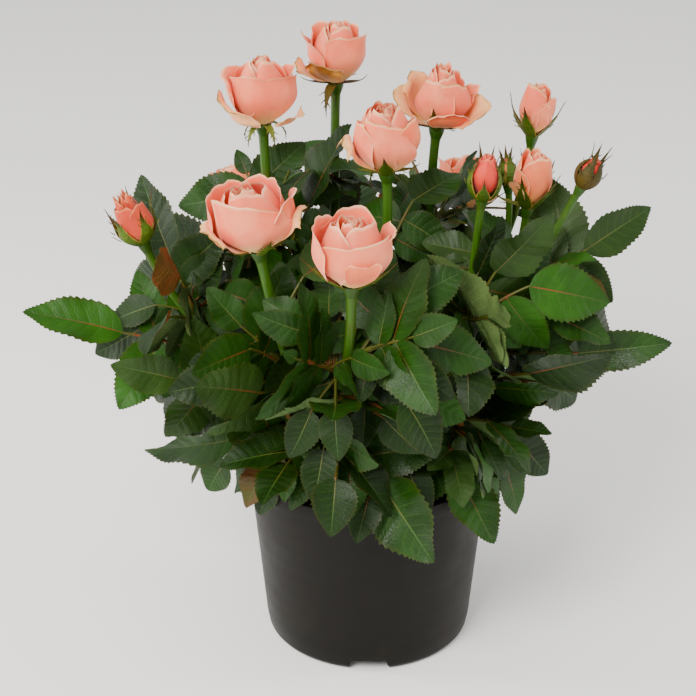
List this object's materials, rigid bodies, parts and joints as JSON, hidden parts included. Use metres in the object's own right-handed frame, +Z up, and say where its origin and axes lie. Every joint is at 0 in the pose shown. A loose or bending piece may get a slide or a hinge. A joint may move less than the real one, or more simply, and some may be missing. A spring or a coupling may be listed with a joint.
{
  "type": "potted miniature rose bush",
  "caption": "Bushy miniature rose in full bloom, with cupped pink flowers on long green stems above glossy leaves, growing in a round charcoal nursery pot.",
  "frame": {"origin": "middle of the pot's flat underside", "axes": "+Z straight up out of the pot, -Y towards the side that the bush is seen from, +X to the right of that view"},
  "size_m": [0.315, 0.2471, 0.3048],
  "materials": {
    "pot": "charcoal moulded plastic, satin with faint scuffs",
    "compost": "moist peat compost with bark fibres and white grains",
    "bark": "thin woody bark, green-brown",
    "green_stem": "smooth satin green rind with a few small prickles",
    "petals": "soft velvety petals, salmon pink with cream edges",
    "buds": "tight coral bud, satin",
    "leaves": "glossy deep green leaflets with paler veins and toothed edges"
  },
  "bodies": {
    "root": {"pot": "pot", "compost": "compost", "woody_stump_front_left": "bark", "woody_stump_front_right": "bark", "woody_stump_back_left": "bark", "woody_stump_back_right": "bark", "flower_stem_front": "green_stem", "bloom_front": "petals", "flower_stem_front_left": "green_stem", "bloom_front_left": "petals", "flower_stem_left": "green_stem", "bloom_left": "petals", "flower_stem_middle": "green_stem", "bloom_middle": "petals", "flower_stem_right_front": "green_stem", "bud_right_front": "buds", "flower_stem_right": "green_stem", "bloom_right": "petals", "flower_stem_far_right": "green_stem", "bud_far_right": "buds", "flower_stem_back_left": "green_stem", "bloom_back_left": "petals", "flower_stem_top": "green_stem", "bloom_top": "petals", "flower_stem_rear_left": "green_stem", "bloom_rear_left": "petals", "flower_stem_back_right": "green_stem", "bloom_back_right": "petals", "flower_stem_right_tall": "green_stem", "bloom_right_tall": "petals", "flower_stem_small": "green_stem", "bud_small": "buds", "flower_stem_rear_right": "green_stem", "bloom_rear_right": "petals", "foliage_left_far": "leaves", "foliage_left_mid": "leaves", "foliage_left_upper": "leaves", "foliage_left_low": "leaves", "foliage_heart_left": "leaves", "foliage_front_left": "leaves", "foliage_front_left_low": "leaves", "foliage_heart_front_left": "leaves", "foliage_front_centre": "leaves", "foliage_front_low": "leaves", "foliage_heart_front_right": "leaves", "foliage_front_right_low": "leaves", "foliage_front_right": "leaves", "foliage_right_mid": "leaves", "foliage_right_low": "leaves", "foliage_right_far": "leaves", "foliage_right_upper": "leaves", "foliage_top_centre": "leaves", "foliage_top_right": "leaves", "foliage_top_left": "leaves", "foliage_heart_right": "leaves", "foliage_rear_left": "leaves", "foliage_rear": "leaves", "foliage_rear_right": "leaves", "foliage_rear_low_left": "leaves", "foliage_rear_low_right": "leaves"}
  },
  "joints": []
}
